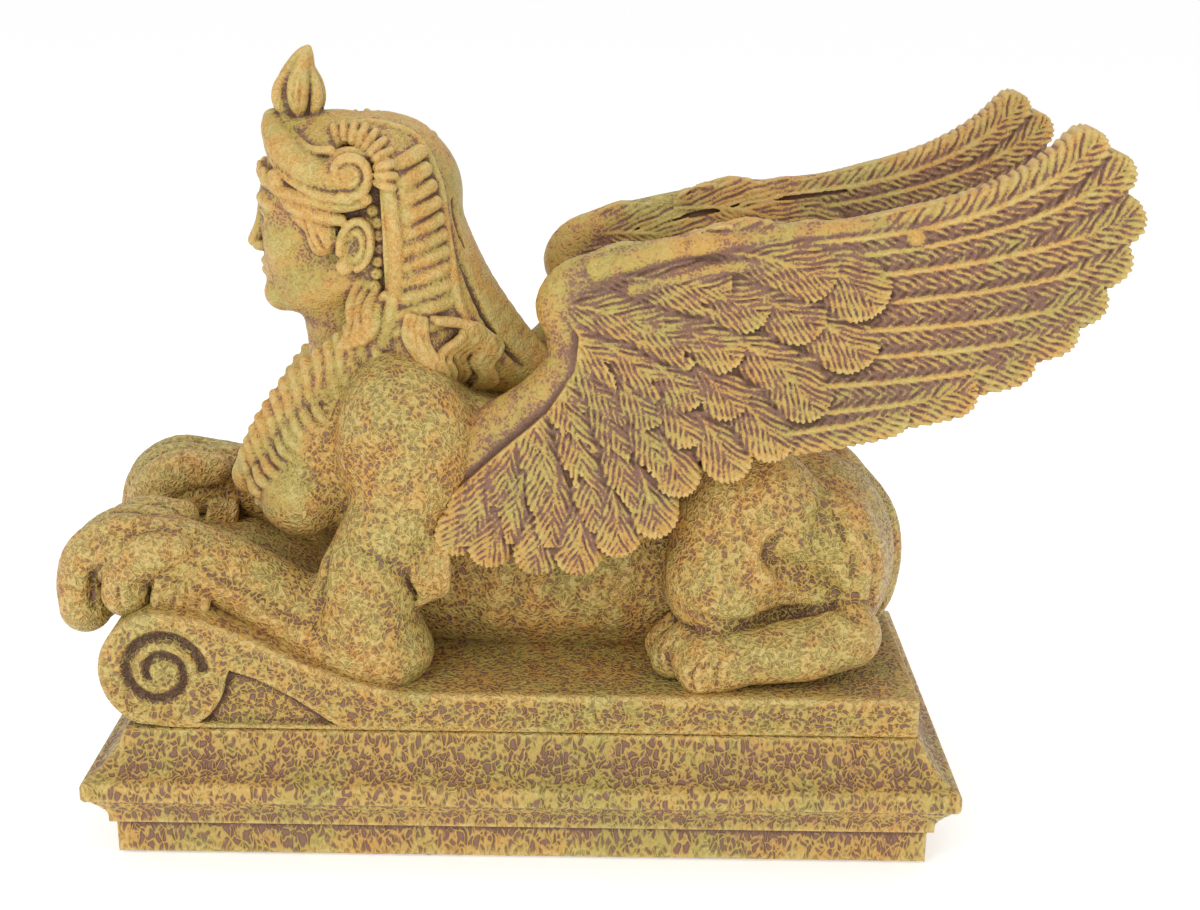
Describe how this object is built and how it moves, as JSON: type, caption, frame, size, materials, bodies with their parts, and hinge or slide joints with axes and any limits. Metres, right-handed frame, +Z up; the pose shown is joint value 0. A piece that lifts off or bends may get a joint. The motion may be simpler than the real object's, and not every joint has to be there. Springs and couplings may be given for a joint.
{
  "type": "sphinx statue",
  "caption": "Crouching winged sphinx in an Egyptian headdress, on a scroll-ended slab and a moulded rectangular plinth.",
  "frame": {"origin": "centre of the flat underside of the felt pad, at table height", "axes": "+Z up, the statue faces -X, +Y is the statue's right-hand side"},
  "size_m": [0.3056, 0.14, 0.2296],
  "materials": {
    "painted_resin": "ochre paint with a green tint over purple-brown, satin, worn into a stippled texture",
    "felt": "black felt"
  },
  "bodies": {
    "root": {"sphinx": "painted_resin", "plinth": "painted_resin", "felt_pad": "felt"}
  },
  "joints": []
}
